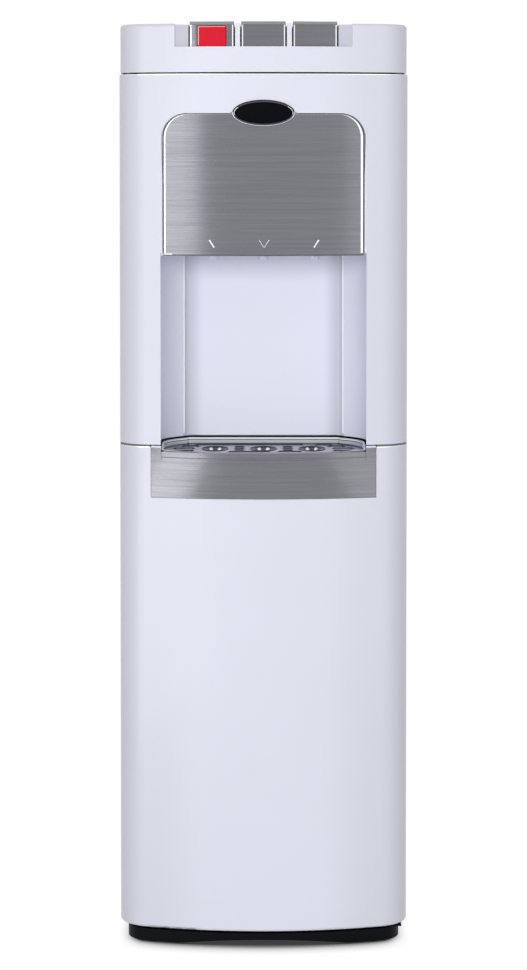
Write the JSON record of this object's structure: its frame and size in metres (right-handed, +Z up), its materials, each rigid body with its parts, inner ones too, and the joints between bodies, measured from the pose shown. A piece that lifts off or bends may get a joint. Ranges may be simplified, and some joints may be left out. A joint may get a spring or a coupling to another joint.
{
  "type": "bottom load water cooler",
  "caption": "Free-standing water cooler with a lower bottle cabinet behind a hinged door, a drip tray on the door, a lit niche and piano keys on top.",
  "frame": {"origin": "on the floor under the middle of the whole object", "axes": "+Z up, the front faces -Y, +X to the right seen from the front"},
  "size_m": [0.32, 0.366, 1.0218],
  "materials": {
    "white_plastic": "satin gloss",
    "white_steel": "painted, semi-gloss",
    "silver_panel": "fine horizontal brushed look",
    "silver_tray": "satin silver paint",
    "key_silver": "brushed",
    "bright_trim": "polished",
    "grey_plastic": "satin",
    "dark_grey_plastic": "satin",
    "black_plastic": "fine texture",
    "black_gloss": "gloss",
    "red_plastic": "gloss",
    "clear_lens": "frosted",
    "black_rubber": "matt",
    "zinc_steel": "zinc plated",
    "stainless": "brushed",
    "galvanised": "galvanised sheet",
    "copper": "bare copper",
    "black_enamel": "baked enamel",
    "foam": "moulded foam",
    "silicone": "translucent",
    "nylon": "natural nylon"
  },
  "bodies": {
    "cabinet": {"base": "black_plastic", "base_feet": "black_rubber", "catch_plate": "zinc_steel", "hinge_plates": "zinc_steel", "front_fascia": "white_plastic", "badge_rim": "bright_trim", "badge_face": "black_gloss", "panel_trim": "bright_trim", "spout_panel": "silver_panel", "niche_liner": "white_plastic", "niche_back": "white_plastic", "spouts": "grey_plastic", "niche_lenses": "clear_lens", "solenoid_valves": "nylon", "top_lid": "white_plastic", "key_chassis": "white_plastic", "key_rod": "zinc_steel", "key_switches": "black_plastic", "right_side_panel": "white_steel", "left_side_panel": "white_steel", "rear_screws": "zinc_steel", "rear_panel": "white_steel", "compartment_liner": "grey_plastic", "bottle_platform": "grey_plastic", "mid_deck": "galvanised", "tank_shelf": "galvanised", "probe_tube": "stainless", "probe_cap": "black_plastic", "probe_holder": "grey_plastic", "pump": "black_plastic", "water_hoses": "silicone", "tank_jackets": "foam", "cold_tank": "stainless", "evaporator_coil": "copper", "hot_tank": "stainless", "drain_pipes": "silicone", "compressor": "black_enamel", "compressor_mounts": "black_rubber", "filter_drier": "copper", "condenser": "black_enamel", "condenser_clips": "black_plastic", "control_box": "black_plastic", "switch_plate": "black_plastic", "power_inlet": "black_plastic"},
    "door": {"door_shell": "white_plastic", "door_liner": "grey_plastic", "door_magnet": "black_rubber", "hinge_bushes": "nylon", "tray_holder": "silver_tray"},
    "basin": {"drip_basin": "silver_tray"},
    "grille": {"drip_grille": "silver_tray"},
    "hot_key": {"key_hot": "key_silver"},
    "room_key": {"key_room": "key_silver"},
    "cold_key": {"key_cold": "key_silver"},
    "lock": {"child_lock": "red_plastic"},
    "hot_rocker": {"rocker_hot": "red_plastic"},
    "cold_rocker": {"rocker_cold": "black_gloss"},
    "lamp_rocker": {"rocker_lamp": "black_gloss"},
    "cold_cap": {"drain_cap_cold": "black_plastic"},
    "hot_cap": {"drain_cap_hot": "black_plastic"}
  },
  "joints": [
    {"name": "door_hinge", "type": "hinge", "parent": "cabinet", "child": "door", "pos_m": [0.149, -0.127, 0.3], "axis": [0, 0, 1], "range_deg": [0, 105]},
    {"name": "basin_lift", "type": "slide", "parent": "door", "child": "basin", "axis": [0, 0, 1], "range_m": [0, 0.06]},
    {"name": "grille_lift", "type": "slide", "parent": "basin", "child": "grille", "axis": [0, 0, 1], "range_m": [0, 0.04]},
    {"name": "hot_key_press", "type": "hinge", "parent": "cabinet", "child": "hot_key", "pos_m": [0, -0.092, 1], "axis": [1, 0, 0], "range_deg": [0, 4], "stiffness_Nm_per_rad": 0.35, "springref_deg": -1.15},
    {"name": "room_key_press", "type": "hinge", "parent": "cabinet", "child": "room_key", "pos_m": [0, -0.092, 1], "axis": [1, 0, 0], "range_deg": [0, 4], "stiffness_Nm_per_rad": 0.35, "springref_deg": -1.15},
    {"name": "cold_key_press", "type": "hinge", "parent": "cabinet", "child": "cold_key", "pos_m": [0, -0.092, 1], "axis": [1, 0, 0], "range_deg": [0, 4], "stiffness_Nm_per_rad": 0.35, "springref_deg": -1.15},
    {"name": "lock_push", "type": "slide", "parent": "hot_key", "child": "lock", "axis": [0, 1, 0], "range_m": [0, 0.003], "stiffness_N_per_m": 150, "springref_m": -0.001},
    {"name": "hot_rocker_tilt", "type": "hinge", "parent": "cabinet", "child": "hot_rocker", "pos_m": [0.08, 0.162, 0.905], "axis": [1, 0, 0], "range_deg": [-9, 9]},
    {"name": "cold_rocker_tilt", "type": "hinge", "parent": "cabinet", "child": "cold_rocker", "pos_m": [0.1, 0.162, 0.905], "axis": [1, 0, 0], "range_deg": [-9, 9]},
    {"name": "lamp_rocker_tilt", "type": "hinge", "parent": "cabinet", "child": "lamp_rocker", "pos_m": [0.12, 0.162, 0.905], "axis": [1, 0, 0], "range_deg": [-9, 9]},
    {"name": "cold_cap_off", "type": "slide", "parent": "cabinet", "child": "cold_cap", "axis": [0, 1, 0], "range_m": [0, 0.03]},
    {"name": "hot_cap_off", "type": "slide", "parent": "cabinet", "child": "hot_cap", "axis": [0, 1, 0], "range_m": [0, 0.03]}
  ]
}
